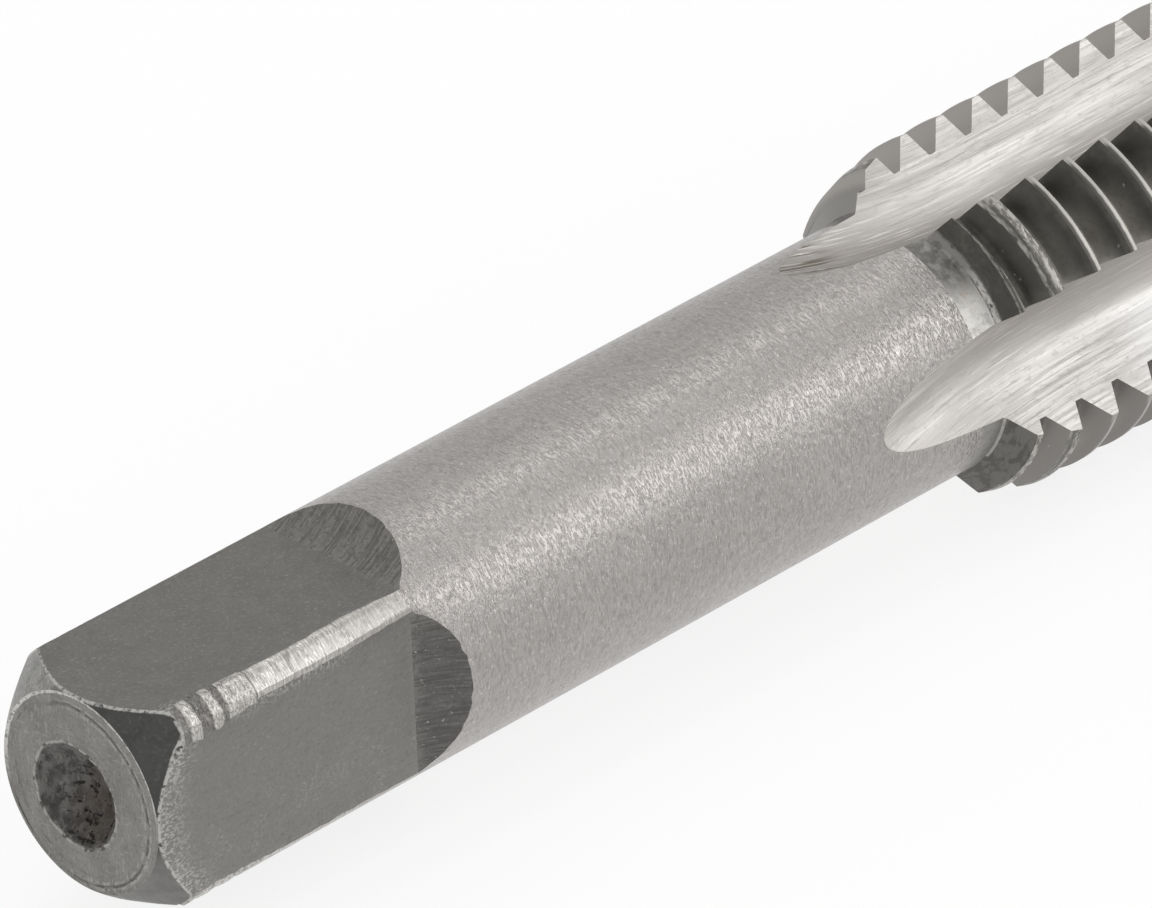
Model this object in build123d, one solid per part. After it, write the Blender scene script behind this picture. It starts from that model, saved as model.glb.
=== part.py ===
from build123d import *
import math
import os

# Hand tap for an M14 x 2 right-hand thread, one piece of hardened tool steel.
# The tap is built standing on its square end with its axis on Z. It is then laid down as
# it rests: axis along +X from the square to the point, on the crests of two lands, with
# one flute straight down and, with four flutes, one straight up.

# Shank and square
shank_diameter = 10.5
overall_length = 90.0
across_flats = 8.0
flat_length = 12.65
scoop_radius = 4.5
scoop_start_angle = 22.0
square_turn = 3.8
end_face_diameter = 7.9
end_chamfer_length = 1.47

# Centre holes
centre_mouth_diameter = 4.2
centre_pilot_diameter = 2.0
centre_cone_angle = 60.0
centre_pilot_length = 1.7

# Thread: the phase is the height of a groove's middle at the middle of the first flute
thread_diameter = 14.0
thread_pitch = 2.0
thread_angle = 60.0
crest_flat = 0.35
root_flat = 0.345
thread_phase = 0.404

# Thread blank: neck, steep shoulder, gentle rise to the full thread, lead and point
neck_end = 42.5
shoulder_length = 0.75
shoulder_drop = 0.625
rise_length = 2.25
lead_threads = 4.0
point_drop = 1.25
point_chamfer = 0.5

# Flutes
flute_count = 4
flute_opening_angle = 50.2
heel_wall_angle = 39.5
core_diameter = 6.72
flute_tip = 36.3
flute_cutter_radius = 40.0

# Radii and heights that follow from the sizes above
shank_radius = shank_diameter / 2
thread_radius = thread_diameter / 2
core_radius = core_diameter / 2
end_face_radius = end_face_diameter / 2
mouth_radius = centre_mouth_diameter / 2
pilot_radius = centre_pilot_diameter / 2
shoulder_radius = thread_radius - shoulder_drop
point_radius = thread_radius - point_drop
shoulder_end = neck_end + shoulder_length
full_thread_start = shoulder_end + rise_length
lead_start = overall_length - lead_threads * thread_pitch
flank_slope = math.tan(math.radians(thread_angle / 2))
thread_depth = (thread_pitch - crest_flat - root_flat) / 2 / flank_slope
root_radius = thread_radius - thread_depth

# How far the cutting shapes reach past the stock, so that no faces are flush
overcut = 1.0

# Blank: one turned profile from the square end to the point
with BuildPart() as blank:
    with BuildSketch(Plane.XZ):
        with BuildLine():
            Polyline(
                (0, 0),
                (end_face_radius, 0),
                (shank_radius, end_chamfer_length),
                (shank_radius, neck_end),
                (shoulder_radius, shoulder_end),
                (thread_radius, full_thread_start),
                (thread_radius, lead_start),
                (point_radius, overall_length - point_chamfer),
                (point_radius - point_chamfer, overall_length),
                (0, overall_length),
                (0, 0),
            )
        make_face()
    revolve(axis=Axis.Z)
tap = blank.part

# Thread groove: a trapezoid carried along a right-hand helix, one turn at a time.
# Each turn begins and ends over the first flute, which later cuts the joins away, and
# the first turns lie over the neck, which is thinner than the root of the thread.
first_flute_angle = -90
turn_share = 0.98
groove_top = thread_radius + crest_flat / 3
groove_top_half = root_flat / 2 + (groove_top - root_radius) * flank_slope
with BuildPart() as groove:
    with BuildLine():
        Helix(pitch=thread_pitch, height=thread_pitch * turn_share, radius=root_radius)
    with BuildSketch(Plane.XZ):
        with BuildLine():
            Polyline(
                (root_radius, -root_flat / 2),
                (groove_top, -groove_top_half),
                (groove_top, groove_top_half),
                (root_radius, root_flat / 2),
                (root_radius, -root_flat / 2),
            )
        make_face()
    sweep(is_frenet=True)
first_turn = math.floor((neck_end - thread_phase) / thread_pitch) - 1
last_turn = math.ceil((overall_length - thread_phase) / thread_pitch)
turned_groove = Rot(0, 0, first_flute_angle) * groove.part
grooves = [
    Pos(0, 0, thread_phase + thread_pitch * turn) * turned_groove
    for turn in range(first_turn, last_turn + 1)
]
tap = tap - grooves

# Flute section, across the tap with the flute on +Y: a radial cutting face, a heel wall
# that leans away, and a round bottom that is tangent to both and just touches the core.
opening_half = math.radians(flute_opening_angle / 2)
heel_lean = math.radians(heel_wall_angle)
crest_offset = thread_radius * math.sin(opening_half)
crest_height = thread_radius * math.cos(opening_half)
walls_meet_height = crest_height - 2 * crest_offset / (
    math.tan(opening_half) + math.tan(heel_lean)
)
walls_meet_offset = walls_meet_height * math.tan(opening_half)
half_spread = (opening_half + heel_lean) / 2
bisector_lean = (heel_lean - opening_half) / 2
bottom_radius = (core_radius - walls_meet_height) / (
    math.cos(bisector_lean) / math.sin(half_spread) - 1
)
bottom_centre_height = core_radius + bottom_radius
bottom_centre_offset = walls_meet_offset - math.tan(bisector_lean) * (
    bottom_centre_height - walls_meet_height
)
cutting_tangent = (
    bottom_centre_offset + bottom_radius * math.cos(opening_half),
    bottom_centre_height - bottom_radius * math.sin(opening_half),
)
heel_tangent = (
    bottom_centre_offset - bottom_radius * math.cos(heel_lean),
    bottom_centre_height - bottom_radius * math.sin(heel_lean),
)
flute_top = thread_radius + overcut
cutting_top = (flute_top * math.tan(opening_half), flute_top)
heel_top = (
    -crest_offset - (flute_top - crest_height) * math.tan(heel_lean),
    flute_top,
)

# The flute runs out on the arc of its milling cutter, back to its tip on the shank
cutter_height = core_radius + flute_cutter_radius
runout_length = math.sqrt(flute_cutter_radius**2 - (cutter_height - shank_radius) ** 2)
runout_start = flute_tip + runout_length
runout_angle = math.degrees(
    math.acos((cutter_height - flute_top) / flute_cutter_radius)
)
with BuildPart() as flute:
    with BuildSketch(Plane.XY.offset(runout_start)) as flute_section:
        with BuildLine():
            Line(cutting_top, cutting_tangent)
            ThreePointArc(
                cutting_tangent,
                (bottom_centre_offset, core_radius),
                heel_tangent,
            )
            Line(heel_tangent, heel_top)
            Line(heel_top, cutting_top)
        make_face()
    extrude(amount=overall_length + overcut - runout_start)
    cutter_axis = Axis((0, cutter_height, runout_start), (1, 0, 0))
    revolve(flute_section.sketch, axis=cutter_axis, revolution_arc=runout_angle)
flute_on_top = 90
for index in range(flute_count):
    flute_angle = first_flute_angle + 360 * index / flute_count
    tap = tap - Rot(0, 0, flute_angle - flute_on_top) * flute.part

# Square: four flats, each ending in the scoop left by the milling cutter
flat_distance = across_flats / 2
flat_top = shank_radius + overcut
scoop_start = math.radians(scoop_start_angle)
scoop_centre_x = flat_distance + scoop_radius * math.cos(scoop_start)
scoop_centre_z = flat_length - scoop_radius * math.sin(scoop_start)
scoop_end = math.acos((scoop_centre_x - flat_top) / scoop_radius)
scoop_middle = (scoop_start + scoop_end) / 2
scoop_middle_point = (
    scoop_centre_x - scoop_radius * math.cos(scoop_middle),
    scoop_centre_z + scoop_radius * math.sin(scoop_middle),
)
scoop_end_point = (flat_top, scoop_centre_z + scoop_radius * math.sin(scoop_end))
with BuildPart() as flat:
    with BuildSketch(Plane.XZ):
        with BuildLine():
            Line((flat_distance, -overcut), (flat_distance, flat_length))
            ThreePointArc(
                (flat_distance, flat_length), scoop_middle_point, scoop_end_point
            )
            Line(scoop_end_point, (flat_top, -overcut))
            Line((flat_top, -overcut), (flat_distance, -overcut))
        make_face()
    extrude(amount=shank_radius + overcut, both=True)
for index in range(4):
    tap = tap - Rot(0, 0, square_turn + 90 * index) * flat.part

# Centre holes in both ends: a cone for the lathe centre, and a pilot with a drilled end
cone_slope = math.tan(math.radians(centre_cone_angle / 2))
cone_depth = (mouth_radius - pilot_radius) / cone_slope
pilot_end = cone_depth + centre_pilot_length
with BuildPart() as centre_hole:
    with BuildSketch(Plane.XZ):
        with BuildLine():
            Polyline(
                (0, -overcut),
                (mouth_radius, -overcut),
                (mouth_radius, 0),
                (pilot_radius, cone_depth),
                (pilot_radius, pilot_end),
                (0, pilot_end + pilot_radius * cone_slope),
                (0, -overcut),
            )
        make_face()
    revolve(axis=Axis.Z)
tap = tap - centre_hole.part
tap = tap - Pos(0, 0, overall_length) * Rot(180, 0, 0) * centre_hole.part

# Lay the tap down: its Z turns to +X, X to +Y and Y to +Z, and the lowest crests of the
# two lands beside the bottom flute come to height 0
rest_height = thread_radius * math.cos(opening_half)
lying = Plane(
    origin=(-overall_length / 2, 0, rest_height), x_dir=(0, 1, 0), z_dir=(1, 0, 0)
)
thread_tap = lying * tap

os.makedirs("parts", exist_ok=True)
export_step(thread_tap, "parts/thread_tap.step")
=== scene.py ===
import math

import bpy
import numpy as np
from mathutils import Matrix, Vector


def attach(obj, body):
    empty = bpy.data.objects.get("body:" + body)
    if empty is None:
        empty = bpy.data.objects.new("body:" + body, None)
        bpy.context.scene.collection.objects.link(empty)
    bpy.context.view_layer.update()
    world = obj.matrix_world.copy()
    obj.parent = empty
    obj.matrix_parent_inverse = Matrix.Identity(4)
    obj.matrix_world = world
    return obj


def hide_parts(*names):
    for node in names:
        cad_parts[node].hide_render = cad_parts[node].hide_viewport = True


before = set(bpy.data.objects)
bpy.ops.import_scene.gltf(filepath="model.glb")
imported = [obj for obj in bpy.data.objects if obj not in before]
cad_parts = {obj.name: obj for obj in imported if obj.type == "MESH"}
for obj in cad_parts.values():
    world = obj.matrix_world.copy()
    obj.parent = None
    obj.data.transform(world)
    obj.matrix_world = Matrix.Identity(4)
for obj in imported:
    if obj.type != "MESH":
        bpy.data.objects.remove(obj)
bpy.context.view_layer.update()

# -------------------- sizes of the tap, in mm
# s runs along the axis from the square end, phi round it from +Y to +Z, in degrees.

MM = 0.001
LENGTH = 90.0
SHANK_R = 5.25
CREST_R = 7.0
PITCH = 2.0
CREST_FLAT = 0.35
ROOT_FLAT = 0.345
FLANK = math.tan(math.radians(30))
ROOT_R = CREST_R - (PITCH - CREST_FLAT - ROOT_FLAT) / 2 / FLANK
GROOVE_PHASE = 0.404
AXIS_HEIGHT = CREST_R * math.cos(math.radians(25.1))

NECK_END = 42.5
SHOULDER_END = 43.25
SHOULDER_R = 6.375
FULL_THREAD = 45.5
LEAD_START = 82.0
POINT_R = 5.75
POINT_CHAMFER = 0.5
POINT_START = LENGTH - POINT_CHAMFER
GROUND_END = 41.3

FLAT_DISTANCE = 4.0
FLAT_LENGTH = 12.65
SQUARE_TURN = 3.8
SCOOP_R = 4.5
SCOOP_START = math.radians(22)
SCOOP_AXIS = FLAT_DISTANCE + SCOOP_R * math.cos(SCOOP_START)
SCOOP_MIDDLE = FLAT_LENGTH - SCOOP_R * math.sin(SCOOP_START)
FACE_R = 3.95
CHAMFER = 1.47
MOUTH_R = 2.1
PILOT_R = 1.0
CONE_DEPTH = (MOUTH_R - PILOT_R) / FLANK
DRILLED_DEPTH = CONE_DEPTH + 2.25

# Flutes: centre, half opening at the crests, and tip of each on the shank
FLUTE_CENTRE = np.array([-90.0, 0.0, 91.05, 179.25])
FLUTE_HALF = np.array([25.1, 25.1, 26.25, 25.85])
FLUTE_TIP = np.array([36.3, 36.3, 36.7, 35.9])
HEEL_LEAN = math.radians(39.5)
CORE_R = 3.36
CUTTER_R = 40.0
CUTTER_HEIGHT = CORE_R + CUTTER_R
# A place where thread and flutes are both at their full depth
AT_FULL = 70.0
RUNOUT = math.sqrt(CUTTER_R**2 - (CUTTER_HEIGHT - SHANK_R) ** 2)

# Grid: each quarter turn has 18 strips over a land and 16 over the flute after it
LAND = 18
QUARTER = 34
COLUMNS = 4 * QUARTER
TURN_ROWS = 24
# Rows stand this far apart on both sides of a thread's corner
EDGE = 0.03
# Radius that stands for nothing cut here
UNCUT = 99.0

# -------------------- the turned and milled form


def blank_radius(s):
    """Turned blank: the radius against s as straight lines between the turned corners."""
    return np.interp(
        s,
        [0, CHAMFER, NECK_END, SHOULDER_END, FULL_THREAD, LEAD_START, POINT_START, LENGTH],
        [FACE_R, SHANK_R, SHANK_R, SHOULDER_R, CREST_R, CREST_R, POINT_R, POINT_R - POINT_CHAMFER],
    )


def thread_radius(s, phi):
    """Groove: a flat root, and flanks that rise at 30 degrees to the square across the axis,
    against the distance along the axis from the middle of the nearest turn of the helix."""
    turn = (s - GROOVE_PHASE) / PITCH - (phi + 90) / 360
    offset = np.abs(turn - np.round(turn)) * PITCH
    cut = ROOT_R + np.maximum((offset - ROOT_FLAT / 2) / FLANK, 0)
    return np.where(s > NECK_END - 0.5, cut, UNCUT)


def land_radius(s, phi):
    """The lower of the turned blank and the thread groove."""
    return np.minimum(blank_radius(s), thread_radius(s, phi))


def smooth_radius(s, phi):
    """The blank, but no higher than just below the thread's root."""
    return np.minimum(blank_radius(s), ROOT_R - 0.03)


def flute_sizes(flute):
    """Round bottom that is tangent to both walls and touches the core: its radius and centre."""
    half = math.radians(FLUTE_HALF[flute])
    offset = CREST_R * math.sin(half)
    height = CREST_R * math.cos(half)
    meet = height - 2 * offset / (math.tan(half) + math.tan(HEEL_LEAN))
    spread = (half + HEEL_LEAN) / 2
    lean = (HEEL_LEAN - half) / 2
    bottom_r = (CORE_R - meet) / (math.cos(lean) / math.sin(spread) - 1)
    centre_v = CORE_R + bottom_r
    centre_u = meet * math.tan(half) - math.tan(lean) * (centre_v - meet)
    return half, bottom_r, centre_u, centre_v


def flute_profile(flute, side, length):
    """Flute section at a length along it from its lowest point: first the round bottom, then
    the straight wall tangent to it. Side 1 is the radial cutting face, -1 the leaning heel.
    Returns the offset from the flute's centre line and the height above the axis."""
    half, bottom_r, centre_u, centre_v = flute_sizes(flute)
    wall = half if side > 0 else HEEL_LEAN
    arc = np.minimum(length / bottom_r, math.pi / 2 - wall)
    beyond = np.maximum(length - bottom_r * (math.pi / 2 - wall), 0)
    u = centre_u + side * (bottom_r * np.sin(arc) + beyond * math.sin(wall))
    v = centre_v - bottom_r * np.cos(arc) + beyond * math.cos(wall)
    return u, v


def flute_point(flute, side, length, s):
    """The section lifted by the run-out: each point swings about the cutter's axis, so its
    height is the cutter's height less the root of its distance squared less the run squared.
    Returns radius and angle."""
    u, v = flute_profile(flute, side, length)
    run = np.clip(FLUTE_TIP[flute] + RUNOUT - s, 0, RUNOUT + 2)
    lifted = CUTTER_HEIGHT - np.sqrt((CUTTER_HEIGHT - v) ** 2 - run**2)
    return np.hypot(u, lifted), FLUTE_CENTRE[flute] - np.degrees(np.arctan2(u, lifted))


# Lengths along a flute's section at which it is tried, in mm
PROBES = np.linspace(0, 7.5, 751)[None, :]


def wall_length(flute, side, s, limit):
    """How far up a flute's wall its section reaches the radius that limit(s, phi) gives: the
    first probe above it, moved back by its share of the step. 0 where nothing is cut."""
    s = np.asarray(s, float).reshape(-1, 1)
    radius, phi = flute_point(flute, side, PROBES, s)
    over = radius - limit(s, phi)
    first = np.argmax(over > 0, axis=1)
    rows = np.arange(len(s))
    before = np.maximum(first - 1, 0)
    low, high = over[rows, before], over[rows, first]
    share = np.where(first > 0, -low / np.maximum(high - low, 1e-9), 0)
    return PROBES[0, before] + share * PROBES[0, 1]


def opening_table(flute, side):
    """Angle of a flute's edge on the turned blank against s. Before the tip the columns close
    in on the point where the flute begins."""
    length = wall_length(flute, side, TABLE_S, lambda s, phi: blank_radius(s))
    phi = flute_point(flute, side, length, TABLE_S)[1]
    u = flute_sizes(flute)[2]
    tip = FLUTE_CENTRE[flute] - math.degrees(math.atan2(u, SHANK_R))
    ahead = FLUTE_TIP[flute] - TABLE_S
    spread = 23 * np.clip(ahead / 6, 0, 1) ** 2
    kept = tip - side * (0.8 + spread)
    phi = np.where(ahead > 0, kept, phi)
    return np.minimum(phi, kept) if side > 0 else np.maximum(phi, kept)


TABLE_S = np.arange(30.0, LENGTH + 0.01, 0.02)
OPENINGS = {(f, side): opening_table(f, side) for f in range(4) for side in (1, -1)}

# -------------------- rows and columns of the grid

STRIP = np.arange(COLUMNS) % QUARTER
QUARTERS = np.arange(COLUMNS) // QUARTER
IN_FLUTE = STRIP > LAND
FLUTE_AFTER = (QUARTERS + 1) % 4
AFTER_TURN = np.where(QUARTERS == 3, 360.0, 0.0)
LAND_SHARE = np.minimum(STRIP / LAND, 1)
TIP_LEVEL = 36.3
tip_moved = FLUTE_TIP - TIP_LEVEL
TIP_SHIFT = tip_moved[QUARTERS] * (1 - LAND_SHARE) + tip_moved[FLUTE_AFTER] * LAND_SHARE

# The square's own angles in one quarter turn, from the heel edge of a flute: flat, the strip
# of the round that is left at the corner, and the next flat
STRIP_START, STRIP_END = 44.2, 53.4
# Angles beyond which the wear moves no column
FIXED_LOW, FIXED_HIGH = 22.0, 72.0
SQUARE_STEPS = np.concatenate(
    [
        [FIXED_LOW, 25.5, 29.0, 32.5, 36.0, 39.5, 42.5],
        np.linspace(STRIP_START, STRIP_END, 7),
        [54.6, 56.2, 58.2, 60.2],
        62.0 + 50.0 * np.arange(0, QUARTER - LAND) / (QUARTER - LAND),
    ]
)
# Where the columns turn from the square's angles to the lands' and flutes' own
TURN_START, TURN_END = 16.0, 30.0
CORNER_CELLS = (SQUARE_STEPS >= STRIP_START)[STRIP] & (SQUARE_STEPS < STRIP_END)[STRIP]
SQUARE_PHI = SQUARE_STEPS[STRIP] - 90 + 90 * QUARTERS

# Edges of the worn corner strip against s, as moved from where the flats would end it, and
# how much of that each of the four corners shows
WORN_S = [1.47, 1.9, 2.39, 3.02, 3.68, 4.9, 5.1, 7.2, 9.9, 10.9, 12.3]
WORN_START = [-1.4, -2.4, -3.2, -2.8, -2.6, -2.2, -1.2, -0.7, -1.4, -0.9, 0.2]
WORN_END = [4.9, 5.2, 5.8, 5.2, 4.0, 2.9, 2.3, 2.0, 2.4, 1.6, 1.0]
WORN_SHARE = np.array([0.45, -0.3, 1.0, 0.35])[QUARTERS]


def square_phi(s):
    """The square's angles with the corner strip's edges moved as they are worn: each column
    is carried along in proportion to its place between the nearest fixed angles."""
    ragged = np.interp(s, [1.9, 2.4, 11.5, 12.3], [0, 1, 1, 0])
    start = STRIP_START + WORN_SHARE * np.interp(s, WORN_S, WORN_START)
    start = start + 0.35 * ragged * wobble(s, 0, 0.9)
    end = STRIP_END + WORN_SHARE * np.interp(s, WORN_S, WORN_END)
    end = end + 0.5 * ragged * wobble(s, 3, 0.7)
    steps = SQUARE_STEPS[STRIP]
    low = FIXED_LOW + (steps - FIXED_LOW) * (start - FIXED_LOW) / (STRIP_START - FIXED_LOW)
    middle = start + (steps - STRIP_START) * (end - start) / (STRIP_END - STRIP_START)
    high = end + (steps - STRIP_END) * (FIXED_HIGH - end) / (FIXED_HIGH - STRIP_END)
    moved = np.where(steps <= STRIP_START, low, np.where(steps <= STRIP_END, middle, high))
    return np.where(steps < FIXED_HIGH, moved, steps) - 90 + 90 * QUARTERS


def flat_angle(phi):
    """Angle from the normal of the nearest of the four flats."""
    return np.radians((phi - SQUARE_TURN + 45) % 90 - 45)


def square_radius(s, phi):
    """Flat seen from the axis: its distance, level and then on the arc of the cutter's scoop,
    over the cosine of the angle from its normal."""
    arc = SCOOP_AXIS - np.sqrt(np.maximum(SCOOP_R**2 - (s - SCOOP_MIDDLE) ** 2, 0))
    beyond = np.where(s < SCOOP_MIDDLE + SCOOP_R, arc, UNCUT)
    return np.where(s <= FLAT_LENGTH, FLAT_DISTANCE, beyond) / np.cos(flat_angle(phi))


def wobble(a, b, step):
    """Even, repeatable roughness between -1 and 1: three crossing waves of about one step."""
    k = 2 * math.pi / step
    first = np.sin(k * (a + 0.37 * b) + 1.3) * np.sin(k * 0.71 * (b - 0.29 * a) + 0.4)
    return 0.6 * first + 0.4 * np.sin(k * 1.53 * (a - 0.61 * b) + 2.1)


def scoop_reach(phi):
    """Where the scoop at a flat's end meets the round shank, with the cutter's ragged edge."""
    level = SHANK_R * np.cos(flat_angle(phi))
    reach = SCOOP_MIDDLE + np.sqrt(np.maximum(SCOOP_R**2 - (SCOOP_AXIS - level) ** 2, 0))
    return np.maximum(reach + 0.045 * wobble(phi, 0 * phi, 9.0), FLAT_LENGTH + 0.12)


def chamfer_reach(phi):
    """Where the turned chamfer of the end face meets a flat, or the round between flats."""
    flat = FLAT_DISTANCE / np.cos(flat_angle(phi))
    return (np.minimum(flat, SHANK_R) - FACE_R) * CHAMFER / (SHANK_R - FACE_R)


def corner_wear(s, phi):
    """Wear of the four corner strips near the end: cuts across the strip, each a dip over a
    few tenths of a mm, and metal pushed out over the flats beside it, a low swell."""
    off = phi - (STRIP_START + STRIP_END) / 2 + 90 - 90 * QUARTERS
    share = np.array([0.3, 0.05, 1.0, 0.3])[QUARTERS]
    depth = np.zeros_like(off)
    # each cut: its place, half width and depth in mm, and its slant over the strip
    for place, width, cut, slant in (
        (1.64, 0.13, 0.12, 0.020), (2.62, 0.21, 0.15, 0.022), (3.55, 0.13, 0.12, 0.020),
        (5.06, 0.08, 0.09, 0.015), (6.90, 0.07, 0.06, 0.015),
    ):
        # on the three less worn corners the cuts are shifted, so that no two are alike
        at = place + 0.3 * (QUARTERS - 2) * (QUARTERS != 2) + slant * off
        depth = depth + cut * np.exp(-(((s - at) / width) ** 2)) * np.exp(-((off / 8) ** 4))
    pushed = np.exp(-(((off - 8.5) / 4.0) ** 2)) + 0.6 * np.exp(-(((off + 7.5) / 3.0) ** 2))
    pushed = pushed * np.exp(-(((s - 2.4) / 1.3) ** 4))
    pushed = pushed * (0.08 + 0.03 * wobble(s * 3, off * 0.5, 2.0))
    rough = 0.008 * wobble(s * 4, off * 0.8, 1.7) * np.exp(-((off / 7) ** 4))
    rough = rough * (s > CHAMFER) * (s < 12.7)
    return share * (pushed - depth + rough)


def column(values):
    """One value for each row, the same in every column."""
    return np.asarray(values, float)[:, None]


# Where the rows are level again, after the chamfer and after the scoops
FIRST_LEVEL, SHANK_LEVEL = 1.75, 15.2
CHAMFER_ROWS = column([0.0, 0.15, 0.5, 0.9, 1.0])
# Close over the ridges of the worn corner, wider after them
FLAT_ROWS = np.concatenate([np.arange(1.87, 5.0, 0.115), np.arange(5.2, FLAT_LENGTH - 0.1, 0.42)])
FLAT_ROWS = column(FLAT_ROWS)
SCOOP_ROWS = column([0.0, 0.15, 0.3, 0.5, 0.7, 0.86, 1.0])
FLAT_START = len(CHAMFER_ROWS) - 1
SCOOP_BEGIN = len(CHAMFER_ROWS) + 2 + len(FLAT_ROWS)
SCOOP_END = SCOOP_BEGIN + len(SCOOP_ROWS) - 1


def plain_rows():
    """Rows of the square, shank and ends at each column: chamfer and scoop rows are shares of
    the way to the curve in which two surfaces meet, so that the grid follows that curve."""
    chamfer = chamfer_reach(SQUARE_PHI)[None, :]
    scoop = scoop_reach(SQUARE_PHI)[None, :]
    level = np.concatenate(
        [
            np.arange(16.0, 35.3, 0.8),
            TIP_LEVEL - 0.045 * np.arange(4, 0, -1) ** 2,
            TIP_LEVEL + 0.0125 * np.arange(0, 13) ** 2,
            np.arange(38.35, NECK_END - 0.1, 0.25),
            [NECK_END - 0.05, NECK_END + 0.05, SHOULDER_END - 0.04, SHOULDER_END + 0.04],
            [POINT_START - 0.02, POINT_START + 0.02, LENGTH],
        ]
    )
    shift = np.interp(level, [30, TIP_LEVEL, 41], [0, 1, 0], left=0, right=0)
    return np.concatenate(
        [
            CHAMFER_ROWS * chamfer,
            chamfer + (FIRST_LEVEL - chamfer) * column([0.12, 1.0]),
            FLAT_ROWS + 0 * chamfer,
            FLAT_LENGTH + (scoop - FLAT_LENGTH) * SCOOP_ROWS,
            scoop + (SHANK_LEVEL - scoop) * column([0.15, 1.0]),
            column(level) + column(shift) * TIP_SHIFT[None, :],
        ]
    )


def crest_reach(middle, side):
    """Half width of a crest: the flank's run widens it where the blank is turned lower."""
    reach = np.full_like(middle, CREST_FLAT / 2)
    for _ in range(6):
        wide = CREST_FLAT / 2 + (CREST_R - blank_radius(middle + side * reach)) * FLANK
        reach = np.clip((reach + wide) / 2, 0.1, PITCH / 2 - ROOT_FLAT / 2 - 0.12)
    return reach


# Rows that follow the thread are counted from the crest over the middle of the first land
ROW_ZERO = GROOVE_PHASE + PITCH / 2 + PITCH / 8
FIRST_ROW = int((42.75 - ROW_ZERO) * TURN_ROWS / PITCH)
LAST_ROW = int((LENGTH - 0.75 - ROW_ZERO) * TURN_ROWS / PITCH)


def thread_rows(phi):
    """Rows that follow the helix: for each turn, rows at both sides of the crest's and root's
    corners and shares between them. The row count steps a quarter turn on from land to land,
    so the rows close on themselves round the tap."""
    index = np.arange(FIRST_ROW, LAST_ROW)[:, None] - QUARTERS[None, :] * TURN_ROWS // 4
    turn, row = index // TURN_ROWS, index % TURN_ROWS
    middle = GROOVE_PHASE + PITCH / 2 + PITCH * (turn + (phi + 90) / 360)
    ahead = crest_reach(middle, 1)
    behind = PITCH - crest_reach(middle + PITCH, -1)
    half, root, e = PITCH / 2 + 0 * ahead, ROOT_FLAT / 2, EDGE / 2
    knots = np.stack(
        [
            0 * ahead, ahead - e, ahead + e, half - root - e, half - root + e, half,
            half + root - e, half + root + e, behind - e, behind + e, 2 * half,
        ]
    )
    at = np.interp(row, [0, 2, 3, 9, 10, 12, 14, 15, 21, 22, 24], np.arange(11))
    low = np.minimum(at.astype(int), 9)
    a = np.take_along_axis(knots, low[None], 0)[0]
    b = np.take_along_axis(knots, low[None] + 1, 0)[0]
    return middle + a + (b - a) * (at - low)


def straight_over_flutes(s):
    """Over a flute, each row runs straight from its place at the cutting edge to the heel's."""
    edge = np.arange(COLUMNS) - STRIP + LAND
    heel = (np.arange(COLUMNS) - STRIP + QUARTER) % COLUMNS
    share = np.clip((STRIP - LAND - 2) / (QUARTER - LAND - 4), 0, 1)
    return np.where(IN_FLUTE, s[:, edge] * (1 - share) + s[:, heel] * share, s)


def column_angles(s):
    """Angle of each column at its own s: even shares of a land between its two flutes, even
    shares of a flute, and the square's own angles near the square."""
    phi = np.zeros_like(s)
    for c in range(COLUMNS):
        after = FLUTE_AFTER[c]
        heel = np.interp(s[:, c], TABLE_S, OPENINGS[QUARTERS[c], -1])
        cut = np.interp(s[:, c], TABLE_S, OPENINGS[after, 1]) + AFTER_TURN[c]
        far = np.interp(s[:, c], TABLE_S, OPENINGS[after, -1]) + AFTER_TURN[c]
        over_flute = (STRIP[c] - LAND) / (QUARTER - LAND)
        on_land = heel + (cut - heel) * LAND_SHARE[c]
        phi[:, c] = cut + (far - cut) * over_flute if IN_FLUTE[c] else on_land
    share = np.clip((s - TURN_START) / (TURN_END - TURN_START), 0, 1)
    share = share * share * (3 - 2 * share)
    return square_phi(s) * (1 - share) + phi * share


def grid():
    """s and phi of every row and column. The rows are sorted in each column, and rows and
    angles are worked out in turn until each fits the other."""
    plain = plain_rows()
    flute_edges = FLUTE_CENTRE[QUARTERS] + FLUTE_HALF[QUARTERS]
    land_ends = FLUTE_CENTRE[FLUTE_AFTER] - FLUTE_HALF[FLUTE_AFTER] + AFTER_TURN
    at_threads = (flute_edges + (land_ends - flute_edges) * LAND_SHARE)[None, :]
    at_threads = np.repeat(at_threads, LAST_ROW - FIRST_ROW, 0)
    for _ in range(5):
        threads = thread_rows(at_threads)
        s = np.sort(np.concatenate([plain, threads]), axis=0)
        s[SCOOP_END + 3 :] = straight_over_flutes(s[SCOOP_END + 3 :])
        phi = column_angles(s)
        for c in range(COLUMNS):
            at_threads[:, c] = np.interp(threads[:, c], s[:, c], phi[:, c])
    return s, phi


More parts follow.
